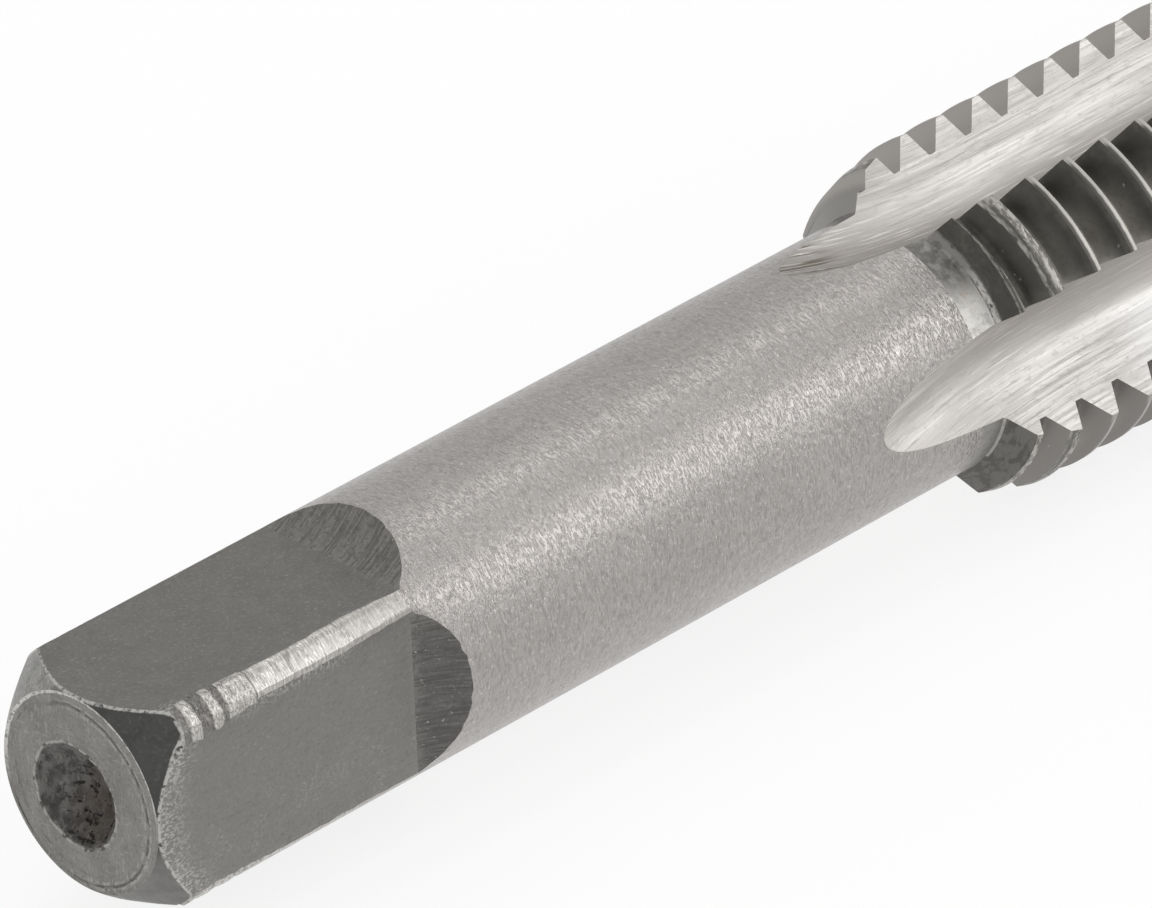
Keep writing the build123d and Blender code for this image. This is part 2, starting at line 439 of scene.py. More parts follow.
def flute_columns(s, phi, radius):
    """Moves the flute's columns, and the land's edges beside them, on to the milled flute, and
    gives each its place across the flute: the signed length along the section, in mm."""
    middle = QUARTER - LAND - 4
    across = np.zeros_like(s)
    for c in np.flatnonzero(STRIP == LAND):
        flute = FLUTE_AFTER[c]
        half, bottom_r = flute_sizes(flute)[:2]
        tangent = {1: bottom_r * (math.pi / 2 - half), -1: bottom_r * (math.pi / 2 - HEEL_LEAN)}
        steps = np.linspace(tangent[1], -tangent[-1], middle + 1)
        for k in range(QUARTER - LAND + 1):
            here = (c + k) % COLUMNS
            turned = 360.0 if c + k < COLUMNS and QUARTERS[c] == 3 else 0.0
            side = 1 if k < 2 or (2 <= k <= middle + 2 and steps[k - 2] > 0) else -1
            at = s[:, here]
            cut = at > FLUTE_TIP[flute] + 0.001
            base = wall_length(flute, side, at, smooth_radius)
            whole = wall_length(flute, side, [AT_FULL], smooth_radius)[0]
            if k in (0, QUARTER - LAND):
                length = wall_length(flute, side, at, land_radius)
            elif k in (1, QUARTER - LAND - 1):
                length = base
            else:
                length = abs(steps[k - 2]) * base / whole
            r, angle = flute_point(flute, side, length, at)
            radius[:, here] = np.where(cut, np.minimum(r, land_radius(at, angle)), radius[:, here])
            phi[:, here] = np.where(cut, angle + turned, phi[:, here])
            across[:, here] = side * length
    return phi, radius, across


# -------------------- the two ends

# The hole in the square end is drilled off the axis, by so much and at this angle
HOLE_SHIFT = 0.45
HOLE_ANGLE = math.radians(325)
HOLE_SIDE = HOLE_SHIFT * math.cos(HOLE_ANGLE)
HOLE_UP = HOLE_SHIFT * math.sin(HOLE_ANGLE)
HOLE_FLOOR = 1.3
# Rings on the hole's floor and wall, up to its lip
HOLE_RINGS = 12


def square_end_rings(phi):
    """Rings from the centre hole's floor out to the edge of the end face. The hole is choked
    with old grease and swarf: its floor is shallow and uneven. A burred lip stands round it,
    and a step of the facing tool, near the rim and also off the axis, leaves a crescent.
    Each ring has its radius, its depth below the face and the roughness of both."""
    rings = []
    turn = np.radians(phi)
    ragged = wobble(2 * np.cos(turn), 2 * np.sin(turn), 1.7)
    for r, down, rough in (
        (0.3, HOLE_FLOOR, 0.10), (0.6, 1.24, 0.16), (0.85, 1.22, 0.16), (1.1, 1.12, 0.16),
        (1.3, 1.0, 0.14), (1.5, 0.84, 0.10), (1.66, 0.66, 0.08), (1.8, 0.46, 0.06),
        (1.9, 0.28, 0.05), (1.98, 0.12, 0.03), (2.02, 0.06, 0.04), (2.09, 0.035, 0.035),
        (2.18, 0.035, 0.035), (2.27, 0.06, 0.03), (2.4, 0.07, 0.0), (2.9, 0.06, 0.0),
        (3.35, 0.06, 0.0), (3.53, 0.05, 0.01), (3.58, 0.075, 0.015), (3.63, 0.065, 0.015),
        (3.87, 0.03, 0.02),
    ):
        lumps = wobble(r * np.cos(turn), r * np.sin(turn), 1.1)
        out = r + 0.9 * rough * ragged * (1.6 < r) * (r < 2.3)
        rings.append((np.maximum(down + rough * lumps, 0.0), phi, out))
    return rings


def point_end_rings(phi, radius, even):
    """Rings from the outline at the point to the centre hole, its cone and drilled end."""
    rings = []
    for share in (0.35, 0.7, 1.0):
        r = radius * (1 - share) + MOUTH_R * share
        rings.append((np.full(COLUMNS, LENGTH), phi * (1 - share) + even * share, r))
    for r, down in (
        (MOUTH_R - 0.04, 0.05),
        ((MOUTH_R + PILOT_R) / 2, CONE_DEPTH / 2),
        (PILOT_R, CONE_DEPTH),
        (PILOT_R, DRILLED_DEPTH - 0.55),
        (PILOT_R / 2, DRILLED_DEPTH - 0.25),
        (PILOT_R / 8, DRILLED_DEPTH - 0.05),
    ):
        rings.append((np.full(COLUMNS, LENGTH - down), even, np.full(COLUMNS, r)))
    return rings


# -------------------- the tap as one closed mesh

FINISHES = (
    "turned_end", "choked_centre", "chamfer_scale", "square_scale", "scoop_scale", "worn_corner",
    "ground_shank", "neck_scale", "milled_flute", "crest_land", "flank_scale",
)
KIND = {name: number for number, name in enumerate(FINISHES)}
# How light each land is painted, from 0 to 1, by quarter turn: painted light and shade for
# the different reflections the four lands catch, not a difference in their scale
PAINTED_LAND_LIGHT = np.array([0.35, 1.0, 0.0, 0.5])


def crest_place(s, phi):
    """Place across the nearest crest: 0 at its corner on the shank's side, 1 at the other."""
    turn = (s - GROOVE_PHASE) / PITCH - (phi + 90) / 360 - 0.5
    offset = (turn - np.round(turn)) * PITCH
    reach = CREST_FLAT / 2 + (CREST_R - blank_radius(s)) * FLANK
    return 0.5 + offset / (2 * reach)


def finish_of_cells(s, phi, radius, first, last):
    """Finish of each cell of the grid, by its row and column near the ends and the square, and
    by its place along the tap and its depth below the blank elsewhere."""

    def middle(values):
        beside = np.roll(values, -1, axis=1)
        return (values[:-1] + beside[:-1] + values[1:] + beside[1:]) / 4

    s_mid = middle(s)
    below = middle(blank_radius(s) - radius)
    row = np.arange(len(s) - 1)[:, None] - first
    corner = CORNER_CELLS[None, :]
    kind = np.full(s_mid.shape, KIND["ground_shank"])
    kind[(row >= FLAT_START) & (row < SCOOP_BEGIN) & ~corner] = KIND["square_scale"]
    kind[(row >= SCOOP_BEGIN) & (row < SCOOP_END) & ~corner] = KIND["scoop_scale"]
    kind[(row >= FLAT_START) & (row < SCOOP_BEGIN) & corner] = KIND["worn_corner"]
    kind[(row >= 0) & (row < FLAT_START) & (s_mid < 2)] = KIND["chamfer_scale"]
    kind[s_mid > GROUND_END] = KIND["neck_scale"]
    kind[s_mid > NECK_END] = KIND["flank_scale"]
    kind[(s_mid > SHOULDER_END) & (below < 0.012)] = KIND["crest_land"]
    flute = (STRIP >= LAND)[None, :] & (s_mid > FLUTE_TIP[FLUTE_AFTER][None, :])
    kind[flute] = KIND["milled_flute"]
    kind[(row < 0) & (s_mid < 9)] = KIND["turned_end"]
    kind[:HOLE_RINGS] = KIND["choked_centre"]
    kind[last - 1 :] = KIND["turned_end"]
    return kind


def build_tap():
    """Grid of rows along the tap and columns round it, closed by rings and a middle point at
    each end. Each point is its s, and its radius at its angle from the axis."""
    s, phi = grid()
    radius = np.minimum(land_radius(s, phi), square_radius(s, phi))
    even = phi[-1].copy()
    radius = radius + np.where((s > 1.5) & (s < 15), corner_wear(s, phi), 0)
    phi, radius, across = flute_columns(s, phi, radius)
    on_square = radius * np.sin(flat_angle(phi))
    across[: SCOOP_END + 1] = on_square[: SCOOP_END + 1]
    start = square_end_rings(phi[0])
    end = point_end_rings(phi[-1], radius[-1], even)
    first, last = len(start), len(start) + len(s)

    def stacked(part, body):
        return np.concatenate([[ring[part] for ring in start], body, [ring[part] for ring in end]])

    all_s, all_phi, all_r = stacked(0, s), stacked(1, phi), stacked(2, radius)
    turn = np.radians(all_phi)
    y = all_r * np.cos(turn)
    z = all_r * np.sin(turn) + AXIS_HEIGHT
    # the rings of the square end move with its hole, less and less towards the rim
    share = np.interp(all_r[:first], [3.4, 3.86], [1, 0])
    y[:first] += share * HOLE_SIDE
    z[:first] += share * HOLE_UP
    points = np.stack([all_s - LENGTH / 2, y, z], -1).reshape(-1, 3)
    near_middle = [HOLE_FLOOR - LENGTH / 2, HOLE_SIDE, AXIS_HEIGHT + HOLE_UP]
    far_middle = [LENGTH / 2 - DRILLED_DEPTH, 0, AXIS_HEIGHT]
    points = np.concatenate([points, [near_middle, far_middle]]) * MM

    rows = len(all_s)
    row, col = np.meshgrid(np.arange(rows - 1), np.arange(COLUMNS), indexing="ij")
    here, beside = row * COLUMNS + col, row * COLUMNS + (col + 1) % COLUMNS
    quads = np.stack([here, beside, beside + COLUMNS, here + COLUMNS], -1).reshape(-1, 4)
    c = np.arange(COLUMNS)
    after = (c + 1) % COLUMNS
    last_row = (rows - 1) * COLUMNS
    near_fan = np.stack([after, c, np.full(COLUMNS, rows * COLUMNS)], -1)
    far_fan = np.stack([last_row + c, last_row + after, np.full(COLUMNS, rows * COLUMNS + 1)], -1)
    mesh = bpy.data.meshes.new("tap_skin")
    mesh.from_pydata(points.tolist(), [], quads.tolist() + near_fan.tolist() + far_fan.tolist())

    kinds = finish_of_cells(all_s, all_phi, all_r, first, last).ravel()
    caps = np.repeat([KIND["choked_centre"], KIND["turned_end"]], COLUMNS)
    mesh.polygons.foreach_set("material_index", np.concatenate([kinds, caps]).astype(np.int32))
    mesh.polygons.foreach_set("use_smooth", np.ones(len(mesh.polygons), bool))
    mesh.set_sharp_from_angle(angle=math.radians(33))
    sharpen(mesh, all_s)

    crest = np.clip(crest_place(all_s, all_phi), -1, 2)
    # how light each land is painted: painted light and shade, carried to the finishes
    painted_land_light = np.repeat(PAINTED_LAND_LIGHT[QUARTERS][None, :], rows, 0)
    land = np.repeat(LAND_SHARE[None, :], rows, 0)
    all_across = np.zeros_like(all_s)
    all_across[first:last] = across
    # distance past the chamfer's edge, and well clear of it where there is no square
    rim = np.full_like(all_s, 9.0)
    rim[first : first + SCOOP_BEGIN] = s[:SCOOP_BEGIN] - chamfer_reach(phi[:SCOOP_BEGIN])
    named = (("crest", crest), ("painted_land_light", painted_land_light), ("land", land), ("across", all_across), ("rim", rim))
    for name, values in named:
        layer = mesh.attributes.new(name, "FLOAT", "POINT")
        layer.data.foreach_set("value", np.append(values.ravel(), [0, 0]).astype(np.float32))
    mesh.update()
    return mesh


def sharpen(mesh, all_s):
    """Marks as sharp the flutes' outlines past their tips."""
    ends = np.zeros(len(mesh.edges) * 2, np.int32)
    mesh.edges.foreach_get("vertices", ends)
    ends = np.sort(ends.reshape(-1, 2), axis=1)
    inside = ends[:, 1] < all_s.size
    row, col = np.minimum(ends // COLUMNS, len(all_s) - 1), ends % COLUMNS
    along = inside & (col[:, 0] == col[:, 1])
    flute = np.where(STRIP == 0, QUARTERS, FLUTE_AFTER)[col[:, 0]]
    at = all_s[row[:, 0], col[:, 0]]
    outline = np.isin(STRIP[col[:, 0]], (0, LAND)) & (at > FLUTE_TIP[flute] - 0.02)
    layer = mesh.attributes["sharp_edge"]
    sharp = np.zeros(len(mesh.edges), bool)
    layer.data.foreach_get("value", sharp)
    layer.data.foreach_set("value", sharp | (along & outline))


# -------------------- finishes


def linear(code):
    """sRGB hex to linear colour."""
    parts = [int(code[i : i + 2], 16) / 255 for i in (1, 3, 5)]
    return tuple(p / 12.92 if p <= 0.04045 else ((p + 0.055) / 1.055) ** 2.4 for p in parts) + (1,)


def add(tree, kind, inputs=None, **settings):
    """Adds a node with its settings; each input, by name or number, is linked or set."""
    node = tree.nodes.new(kind)
    for name, value in settings.items():
        setattr(node, name, value)
    for name, value in (inputs or {}).items():
        if isinstance(value, bpy.types.NodeSocket):
            tree.links.new(value, node.inputs[name])
        else:
            node.inputs[name].default_value = value
    return node


def coat(code, amount, *steps, rough=0.0, high=0.0):
    """One layer of a finish: its colour and the share of it, the steps of its mask, and what it
    adds where the mask is 1 to the roughness and, in mm, to the height."""
    return {"colour": code, "amount": amount, "where": steps, "rough": rough, "high": high}


def make_finish(name, code, rough, *layers, metallic=1.0):
    """A steel finish: a colour and a roughness, with layers laid over them in turn. A layer's
    mask is the product of soft steps, each over one measure between two of its values: the
    grain of a noise, with its size in mm as one number or along X, Y and Z; the same on a cut
    surface, with its sizes along the tap and across the cut; rings round the axis; the
    distance from a spot; the place along the tap from the square end; the side; the height;
    the distance from the axis; or one of the skin's own attributes. A measure may wander: by
    so much, in patches of so many mm."""
    material = bpy.data.materials.new(name)
    material.use_nodes = True
    tree = material.node_tree
    shader = tree.nodes["Principled BSDF"]
    shader.inputs["Metallic"].default_value = metallic
    shader.inputs["Roughness"].default_value = rough
    here = add(tree, "ShaderNodeTexCoord").outputs["Object"]
    to_mm = {"Vector": here, "Location": (LENGTH / 2, 0, 0), "Scale": (1000, 1000, 1000)}
    in_mm = add(tree, "ShaderNodeMapping", to_mm).outputs[0]
    off_axis = {"Vector": here, "Location": (0, 0, -AXIS_HEIGHT), "Scale": (0, 1000, 1000)}
    off_axis = add(tree, "ShaderNodeMapping", off_axis).outputs[0]
    place = add(tree, "ShaderNodeSeparateXYZ", {0: in_mm})
    distance = add(tree, "ShaderNodeVectorMath", {0: off_axis}, operation="LENGTH")
    across = add(tree, "ShaderNodeAttribute", attribute_name="across").outputs["Fac"]
    cut = add(tree, "ShaderNodeCombineXYZ", {0: place.outputs[0], 1: across})
    measures = {
        "along": place.outputs[0],
        "side": place.outputs[1],
        "height": place.outputs[2],
        "distance": distance.outputs["Value"],
        "grain": in_mm,
        "cut_grain": cut.outputs[0],
    }
    colour, roughness, height = linear(code), rough, 0.0
    for number, layer in enumerate(layers):
        mask = 1.0
        for kind, low, high, *more in layer["where"]:
            if kind in ("grain", "cut_grain"):
                sizes = (*more[0], 1.0)[:3] if isinstance(more[0], tuple) else (more[0],) * 3
                spread = {"Vector": measures[kind], "Scale": [1 / size for size in sizes]}
                spread["Location"] = (17.3 * number, 5.1, 9.7 * number)
                spread = add(tree, "ShaderNodeMapping", spread).outputs[0]
                grain = {"Vector": spread, "Scale": 1.0, "Detail": 2.0, "Roughness": 0.6}
                value = add(tree, "ShaderNodeTexNoise", grain).outputs["Fac"]
            elif kind == "rings":
                rings = {"W": measures["distance"], "Scale": 1 / more[0], "Detail": 1.0}
                value = add(tree, "ShaderNodeTexNoise", rings, noise_dimensions="1D").outputs["Fac"]
            elif kind == "spot":
                ends = {0: in_mm, 1: more.pop(0)}
                value = add(tree, "ShaderNodeVectorMath", ends, operation="DISTANCE")
                value = value.outputs["Value"]
            elif kind in measures:
                value = measures[kind]
            else:
                value = add(tree, "ShaderNodeAttribute", attribute_name=kind).outputs["Fac"]
            if kind not in ("grain", "cut_grain", "rings") and more:
                patches = {"Vector": in_mm, "Scale": 1 / more[1], "Detail": 3.0}
                patches = add(tree, "ShaderNodeTexNoise", patches).outputs["Fac"]
                wander = {0: patches, 1: more[0], 2: value}
                value = add(tree, "ShaderNodeMath", wander, operation="MULTIPLY_ADD").outputs[0]
            step = {"Value": value, "From Min": low, "From Max": high}
            soft = add(tree, "ShaderNodeMapRange", step, interpolation_type="SMOOTHSTEP").outputs[0]
            mask = add(tree, "ShaderNodeMath", {0: soft, 1: mask}, operation="MULTIPLY").outputs[0]
        share = {0: mask, 1: layer["amount"]}
        share = add(tree, "ShaderNodeMath", share, operation="MULTIPLY").outputs[0]
        laid = {0: share, 6: colour, 7: linear(layer["colour"])}
        colour = add(tree, "ShaderNodeMix", laid, data_type="RGBA").outputs[2]
        if layer["rough"]:
            change = {0: mask, 1: layer["rough"], 2: roughness}
            roughness = add(tree, "ShaderNodeMath", change, operation="MULTIPLY_ADD").outputs[0]
        if layer["high"]:
            rise = {0: mask, 1: layer["high"], 2: height}
            height = add(tree, "ShaderNodeMath", rise, operation="MULTIPLY_ADD").outputs[0]
    tree.links.new(colour, shader.inputs["Base Color"])
    if isinstance(roughness, bpy.types.NodeSocket):
        tree.links.new(roughness, shader.inputs["Roughness"])
    bump = add(tree, "ShaderNodeBump", {"Height": height, "Strength": 1.0, "Distance": MM})
    tree.links.new(bump.outputs[0], shader.inputs["Normal"])
    return material


# Steps that more than one layer uses: lands by how light they are painted (painted light and
# shade per land), then sides and places
DARK_LAND = ("painted_land_light", 0.2, 0.05)
DARKER_LANDS = ("painted_land_light", 0.5, 0.2)
PALE_LANDS = ("painted_land_light", 0.3, 0.5)
BY_PAINTED_LAND_LIGHT = ("painted_land_light", 0.0, 1.0)
FRONT_FLAT = ("side", -2.8, -3.5)
FRONT_OF_FACE = ("side", 1.6, -0.6)
FAR_CORNERS = ("side", -0.4, 1.6)
KNOCKED_END = ("along", 5.0, 4.92)
SHOULDER = ("along", 43.65, 43.35)
SHOULDER_RIM = ("distance", 6.0, 6.15)
FIRST_TURN = ("along", 45.9, 45.2)
# Pale nicks on the thread, each in mm along from the square end, across and up
NICKS = (
    (43.96, -4.15, 10.85), (43.94, -4.72, 10.05), (44.0, -4.93, 9.9), (48.4, -5.83, 9.68),
    (50.24, -4.54, 11.14), (43.54, 3.32, 11.49), (44.54, -5.2, 2.72),
)
# Middle of the hole's mouth, a place low in it, and the middle of the facing tool's step
HOLE = (0.3, HOLE_SIDE, AXIS_HEIGHT + HOLE_UP)
HOLE_LOW = (0.9, HOLE_SIDE - 0.3, AXIS_HEIGHT + HOLE_UP - 0.8)
STEP = (0.06, 0.6 * HOLE_SIDE, AXIS_HEIGHT + 0.6 * HOLE_UP)
# Where the worn corner is dull between its rubbed ridges, in mm from the square end
DULL_BANDS = ((1.46, 1.86), (2.30, 2.96), (3.38, 3.74), (5.01, 5.12), (6.86, 6.94))

# Tool steel as it leaves each operation. Hardening leaves grey oxide scale wherever nothing was
# ground or cut afterwards; grinding and milling leave bright metal with the marks of the wheel
# and the cutter. Sizes are mm of the real marks; the grinding scratches, a few hundredths of a
# mm wide in life, are drawn about 0.1 mm wide, so that they show.
finishes = {
    # Faced in the lathe: faint rings round the axis under thin scale, a ragged edge where the
    # facing tool stepped, and a rubbed rim
    "turned_end": make_finish(
        "turned_end_under_scale", "#898884", 0.42,
        coat("#777673", 0.7, ("grain", 0.35, 0.7, 1.2)),
        coat("#6d6c69", 0.25, ("rings", 0.3, 0.7, 0.14), high=0.004),
        coat("#5e5d5b", 0.5, ("grain", 0.52, 0.7, 0.12), high=-0.005),
        coat("#a9a8a4", 0.5, ("grain", 0.58, 0.7, (0.12, 0.08, 0.5)), high=0.004),
        coat("#a2a19d", 0.5, ("grain", 0.6, 0.7, (0.12, 0.6, 0.09)), high=0.004),
        coat(
            "#5b5a57", 0.45, ("distance", 3.38, 3.44, 0.16, 0.6),
            ("distance", 3.58, 3.52, 0.16, 0.6), ("grain", 0.54, 0.62, (1.0, 1.3, 1.3)),
            high=-0.008,
        ),
        coat(
            "#aeada9", 0.45, FRONT_OF_FACE, ("spot", 3.42, 3.5, STEP, 0.12, 0.5),
            ("spot", 3.6, 3.54, STEP, 0.12, 0.5), ("grain", 0.44, 0.54, (0.3, 0.35, 0.35)),
            high=0.01,
        ),
        coat(
            "#464543", 0.6, FRONT_OF_FACE, ("spot", 3.56, 3.61, STEP, 0.08, 0.4),
            ("spot", 3.7, 3.65, STEP, 0.08, 0.4), ("grain", 0.4, 0.5, (0.3, 0.4, 0.4)), high=-0.01,
        ),
        coat(
            "#aeada9", 0.5, FRONT_OF_FACE, ("spot", 3.66, 3.7, STEP, 0.08, 0.4),
            ("spot", 3.82, 3.76, STEP, 0.08, 0.4), ("grain", 0.42, 0.54, (0.2, 0.3, 0.3)),
            high=0.01,
        ),
        coat(
            "#cfcdc9", 0.85, ("along", 4.0, 2.0), ("height", 5.2, 7.6),
            ("distance", 3.83, 3.87, 0.06, 0.3), ("grain", 0.34, 0.54, (0.2, 0.16, 0.16)),
        ),
    ),
    # Old grease with swarf in it: dull grey folds, darker deep down, black flecks, pale at the lip
    "choked_centre": make_finish(
        "grease_and_swarf", "#7b7976", 0.8,
        coat("#454341", 0.8, ("grain", 0.36, 0.64, (0.5, 0.4, 0.6)), high=-0.06),
        coat("#4a4038", 0.7, ("spot", 2.1, 0.9, HOLE_LOW, 0.5, 0.7)),
        coat(
            "#151312", 0.9, ("spot", 2.3, 1.2, HOLE_LOW), ("grain", 0.58, 0.63, (0.4, 0.55, 0.22)),
            high=-0.04,
        ),
        coat("#9a9691", 0.45, ("grain", 0.6, 0.7, (0.3, 0.12, 0.4)), high=0.02),
        coat(
            "#bcb9b4", 0.7, ("spot", 2.1, 2.17, HOLE, 0.16, 0.4),
            ("grain", 0.38, 0.54, (0.16, 0.3, 0.3)), high=0.02,
        ),
        coat("#7f7e7a", 0.8, ("spot", 2.2, 2.26, HOLE, 0.12, 0.5)),
        metallic=0.35,
    ),
    # Turned chamfer left as hardened: darkest scale on the corner above the front, thinner and
    # speckled round the back, with a thin worn edge
    "chamfer_scale": make_finish(
        "chamfer_under_scale", "#4c4c4b", 0.5,
        coat("#a5a4a1", 0.9, FAR_CORNERS, ("height", 6.5, 8.5)),
        coat("#8a8987", 0.8, ("height", 5.6, 4.4)),
        coat("#5f5f5d", 0.35, ("grain", 0.35, 0.65, 0.6)),
        coat("#6d6c6a", 0.4, ("grain", 0.54, 0.72, 0.13), high=0.003),
        coat("#b9b8b5", 0.6, FAR_CORNERS, ("grain", 0.5, 0.64, 0.12)),
        coat("#c9c7c3", 0.8, ("rim", -0.09, -0.03, 0.06, 0.1), ("grain", 0.3, 0.54, 0.2)),
    ),
    # Milled flats left as hardened: matt grey scale, nearly even, darker towards the top flat as
    # painted shade, scratched pale beside the chamfer and bruised beside the worn corner
    "square_scale": make_finish(
        "milled_flat_under_scale", "#888683", 0.52,
        # painted shade: the top flat darker than the front one
        coat("#62615e", 0.5, ("height", 8.2, 10.0)),
        coat("#83817d", 0.35, ("grain", 0.35, 0.68, 0.9)),
        coat("#6a6966", 0.15, ("cut_grain", 0.45, 0.75, (1.2, 0.12)), high=0.002),
        coat("#97958f", 0.4, ("grain", 0.5, 0.72, 0.14), high=0.003),
        coat("#5b5a57", 0.3, ("grain", 0.54, 0.74, (0.18, 0.12, 0.12)), high=-0.002),
        coat("#a5a39f", 0.6, ("grain", 0.62, 0.72, 0.16), ("grain", 0.52, 0.62, 1.6)),
        coat(
            "#c8c6c2", 0.7, FRONT_FLAT, ("rim", 2.3, 0.3, 1.0, 0.8),
            ("grain", 0.47, 0.6, (0.17, 0.09, 0.09)), high=0.005,
        ),
        coat(
            "#a5a39f", 0.5, FRONT_FLAT, ("height", 6.4, 4.4),
            ("grain", 0.5, 0.66, (0.16, 0.09, 0.09)), ("grain", 0.44, 0.62, 1.3), high=0.003,
        ),
        coat(
            "#b5b3af", 0.75, FRONT_FLAT, ("across", -2.2, -2.9, 0.6, 0.6), ("along", 3.2, 4.4),
            ("along", 10.5, 8.5), ("grain", 0.46, 0.58, (0.12, 0.16, 0.16)), high=0.005,
        ),
        coat("#bdbbb7", 0.7, ("rim", 0.1, 0.03, 0.08, 0.12), ("grain", 0.38, 0.56, 0.14)),
    ),
    # Scoop of the flat's cutter: the same scale over fine feed marks along the cut
    "scoop_scale": make_finish(
        "milled_scoop_under_scale", "#6b6967", 0.5,
        coat("#85847f", 0.8, ("height", 8.0, 9.6)),
        coat("#83817e", 0.75, ("along", 13.1, 12.55)),
        coat("#4a4947", 0.5, ("cut_grain", 0.46, 0.66, (1.4, 0.09)), high=0.008),
        coat("#8f8d8a", 0.5, ("cut_grain", 0.55, 0.72, (1.0, 0.08)), high=-0.005),
        coat("#595856", 0.5, ("grain", 0.48, 0.66, 0.15), high=0.006),
        coat("#b3b1ad", 0.6, ("grain", 0.66, 0.73, 0.15)),
    ),
    # Corner left round between the flats: ground bright across, and near the end knocked into
    # ridges that are rubbed shiny over dull hollows
    "worn_corner": make_finish(
        "worn_bright_corner", "#bebbb7", 0.36,
        coat("#8f8c89", 0.6, ("grain", 0.4, 0.62, (0.1, 0.8, 0.8)), high=-0.006),
        coat("#75726f", 0.45, ("grain", 0.54, 0.64, (0.22, 0.6, 0.6)), high=-0.008),
        coat("#e8e6e2", 0.65, ("grain", 0.52, 0.66, (0.08, 0.35, 0.35)), high=0.005),
        coat("#a29f9b", 0.55, ("along", 7.0, 12.0)),
        coat("#75726f", 0.65, KNOCKED_END, ("grain", 0.44, 0.58, (0.1, 0.14, 0.14)), high=-0.008),
        coat("#d2cfcb", 0.55, KNOCKED_END, ("grain", 0.44, 0.62, (0.12, 0.16, 0.16))),
        *[
            coat(
                "#4b4946", 0.66, DARK_LAND, ("along", start, start + 0.08, 0.06, 0.4),
                ("along", end + 0.04, end - 0.04, 0.06, 0.4),
            )
            for start, end in DULL_BANDS
        ],
    ),
    # Cylindrically ground: warm grey, close short scratches round the shank that glint
    "ground_shank": make_finish(
        "ground_tool_steel", "#aca8a5", 0.32,
        coat("#a39f9c", 0.6, ("grain", 0.38, 0.66, (5.0, 2.4, 2.4))),
        coat("#938f8c", 0.55, ("grain", 0.46, 0.66, (0.1, 0.34, 0.34)), high=-0.016),
        coat("#cecac7", 0.5, ("grain", 0.5, 0.68, (0.09, 0.26, 0.26)), high=0.02),
        coat("#918d8a", 0.45, ("grain", 0.55, 0.7, (0.28, 0.35, 0.35)), rough=0.08),
        coat("#e6e3e0", 0.5, ("grain", 0.64, 0.72, (0.1, 0.16, 0.16))),
    ),
    # Neck behind the thread: scale rubbed thin, mottled grey with a few rust-brown spots, darker
    # towards the top as painted shade, lighter low on the land above the front as painted light,
    # and darker on the lands painted lighter
    "neck_scale": make_finish(
        "thin_mottled_scale", "#bab8b4", 0.45,
        # painted shade: darker towards the top
        coat("#5b5a57", 0.9, ("height", 9.2, 10.6)),
        # painted light: lighter low on the land above the front, against the shade it mirrors from
        # the floor and the tap
        coat("#e0deda", 0.75, ("painted_land_light", 0.3, 0.1), ("height", 9.4, 8.2)),
        coat("#a3a19e", 0.5, ("grain", 0.42, 0.66, 0.5)),
        coat("#858380", 0.4, ("grain", 0.5, 0.7, 0.2), high=-0.003),
        coat("#8f8275", 0.35, ("grain", 0.62, 0.7, 0.4)),
        # darker on the lands painted lighter, by the per-land painted light and shade
        coat("#75736f", 0.4, PALE_LANDS),
    ),
    # Milled flute, bright: close streaks along the cut; painted reflections by height, side and
    # place along the tap, greyer beside the lands above it as painted shade and paler elsewhere as
    # painted light, with a white painted highlight on the front flute; and a brown scorch with
    # scratches where the top flute's cutter came out
    "milled_flute": make_finish(
        "milled_bright_steel", "#d6d3cf", 0.56,
        # painted reflections: greyer and paler patches by height, side and place along the tap
        coat("#a8a4a0", 0.85, ("height", 5.4, 7.2), ("side", -0.6, -2.2), ("along", 39.0, 45.5)),
        coat("#f4f2ef", 0.9, ("height", 6.7, 5.3), ("along", 40.5, 46.0)),
        coat("#8a8682", 0.8, ("height", 9.2, 9.7), ("side", 2.1, 0.4)),
        coat("#f0eeeb", 0.6, ("height", 9.2, 9.7), ("side", 0.8, 2.4), ("along", 44.0, 50.0)),
        coat("#97938f", 0.8, ("height", 8.5, 9.5), ("along", 47.0, 38.0)),
        coat("#a9a5a1", 0.45, ("cut_grain", 0.38, 0.64, (6.0, 0.5))),
        coat("#b0aca8", 0.45, ("cut_grain", 0.44, 0.68, (5.0, 0.18)), high=0.004),
        coat("#ebe9e6", 0.5, ("cut_grain", 0.52, 0.72, (3.0, 0.11)), high=-0.003),
        coat("#98948f", 0.5, ("cut_grain", 0.58, 0.72, (2.4, 0.08))),
        coat("#b3afab", 0.4, ("grain", 0.54, 0.72, (0.4, 0.2, 0.2))),
        # painted highlight: a white patch on the front flute, with a grey patch beside it
        coat("#ffffff", 0.5, ("height", 6.0, 5.2), ("side", -1.0, -2.0), ("along", 48.5, 51.5)),
        coat("#aaa6a2", 0.55, ("height", 5.5, 6.2), ("side", -1.0, -2.0), ("along", 45.5, 48.0)),
        coat(
            "#5f5646", 0.75, ("height", 9.5, 10.5), ("along", 40.6, 38.8),
            ("cut_grain", 0.55, 0.62, (6.0, 0.2)), high=-0.005,
        ),
        coat(
            "#ebe9e5", 0.6, ("height", 9.5, 10.5), ("along", 39.8, 38.2),
            ("cut_grain", 0.6, 0.66, (1.2, 0.2)),
        ),
    ),
    # Thread crest: scale on the shank's side, rubbed to a bright line on the other, pale right
    # across at the heel end, and rough on the first turn; lighter or darker land by land as painted
    # light and shade
    "crest_land": make_finish(
        "crest_rubbed_bright", "#54534f", 0.48,
        # painted light and shade: the crest's colour land by land
        coat("#8f8c88", 1.0, BY_PAINTED_LAND_LIGHT),
